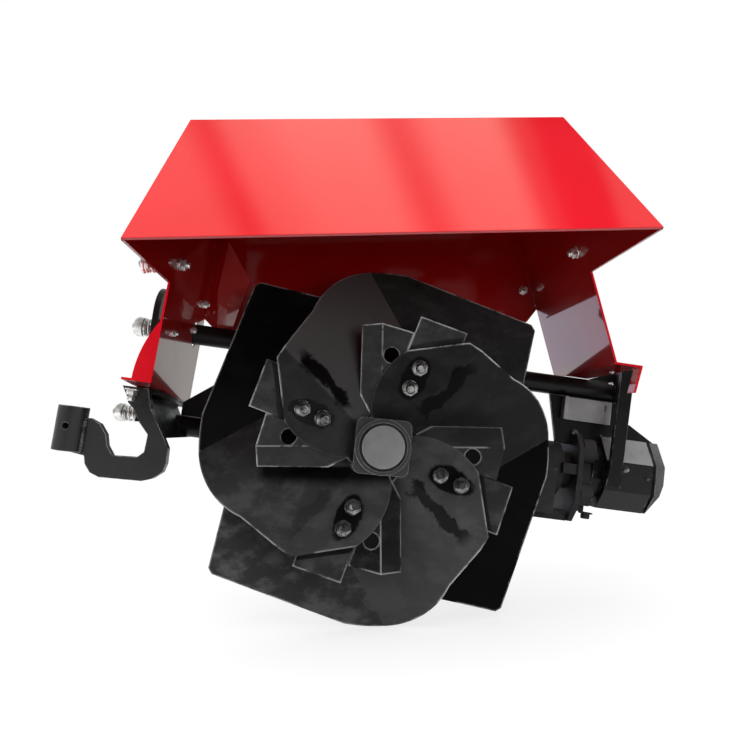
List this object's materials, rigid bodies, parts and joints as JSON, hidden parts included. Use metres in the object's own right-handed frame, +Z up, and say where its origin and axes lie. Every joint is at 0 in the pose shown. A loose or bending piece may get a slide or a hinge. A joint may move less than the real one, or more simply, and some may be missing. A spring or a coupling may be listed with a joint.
{
  "type": "hydraulic rotary tiller head",
  "caption": "Hooded rotary tiller head: a rotor of folded blades with bolted knives on a gearbox shaft, a hydraulic motor, a tube frame and a hook with a sleeve.",
  "frame": {"origin": "centre of the carrier plate's rear face", "axes": "+X to the right seen from the rotor's open side, +Y from the rotor back to the carrier plate, +Z up with the hood level"},
  "size_m": [0.9061, 0.4524, 0.688],
  "materials": {
    "hood_paint": "glossy red powder coat",
    "rotor_paint": "semi-gloss black paint with bare worn edges",
    "frame_paint": "semi-gloss black paint",
    "casting_paint": "black painted casting",
    "motor_paint": "satin black paint",
    "cap_steel": "grey painted cap",
    "shaft_steel": "turned steel"
  },
  "bodies": {
    "head": {"carrier_plate": "frame_paint", "cross_plate": "frame_paint", "frame_gusset": "frame_paint", "gearbox_end_flange": "casting_paint", "gearbox_hanger_left": "casting_paint", "gearbox_hanger_right": "casting_paint", "gearbox_housing": "casting_paint", "hanger_strap": "frame_paint", "hood_cover": "hood_paint", "hood_rear_wall": "hood_paint", "hood_side_left": "hood_paint", "hood_side_right": "hood_paint", "hook_brace": "frame_paint", "hook_plate": "frame_paint", "hook_sleeve": "frame_paint", "left_end_plate": "frame_paint", "lower_tube": "frame_paint", "motor_adapter": "motor_paint", "motor_body": "motor_paint", "motor_end_cover": "motor_paint", "motor_port_block": "motor_paint", "output_bearing": "casting_paint", "right_bracket": "frame_paint", "upper_tube": "frame_paint"},
    "rotor": {"arm_1": "rotor_paint", "arm_2": "rotor_paint", "arm_3": "rotor_paint", "arm_4": "rotor_paint", "blade_1": "rotor_paint", "blade_2": "rotor_paint", "blade_3": "rotor_paint", "blade_4": "rotor_paint", "hub_cap": "cap_steel", "knife_1": "rotor_paint", "knife_2": "rotor_paint", "knife_3": "rotor_paint", "knife_4": "rotor_paint", "rotor_hub": "rotor_paint", "rotor_shaft": "shaft_steel"}
  },
  "joints": [
    {"name": "rotor_spin", "type": "hinge", "parent": "head", "child": "rotor", "pos_m": [-0.02344, -0.1583, -0.13295], "axis": [0, 1, 0], "continuous": true}
  ]
}
